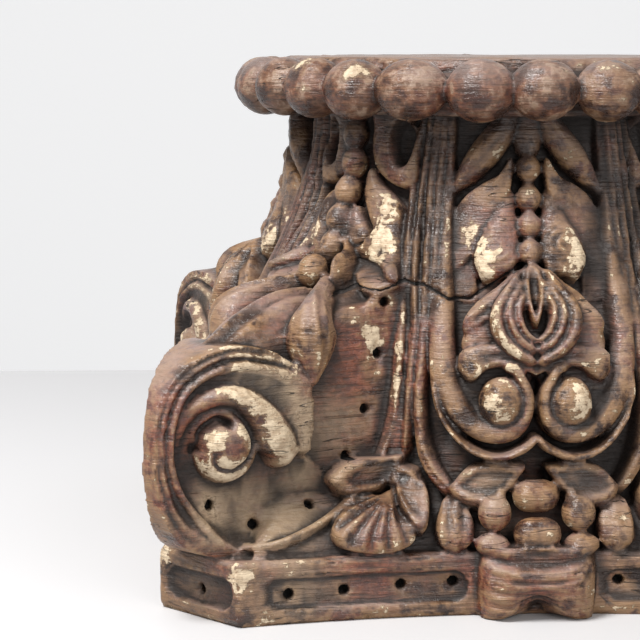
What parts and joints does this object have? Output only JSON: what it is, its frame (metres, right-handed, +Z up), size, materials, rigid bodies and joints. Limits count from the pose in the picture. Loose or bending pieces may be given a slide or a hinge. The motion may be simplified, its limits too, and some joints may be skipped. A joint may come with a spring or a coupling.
{
  "type": "corinthian capital",
  "caption": "Carved wooden Corinthian capital standing on its abacus: corner volutes, inner scrolls, leaves, berry strings and a bead ring round a flat neck disc.",
  "frame": {"origin": "middle of the underside of the abacus slab, on the capital's vertical axis", "axes": "+Z up along the capital's axis, from the abacus it stands on to the bead ring and neck disc; -Y out of the front face, +X to the right; the four corners lie on the diagonals"},
  "size_m": [0.3943, 0.3943, 0.28],
  "materials": {
    "worn_painted_wood": "worn dark brown and red-brown paint over cream ground, soft semi-gloss, bare wood in the recesses"
  },
  "bodies": {
    "root": {"capital": "worn_painted_wood"}
  },
  "joints": []
}
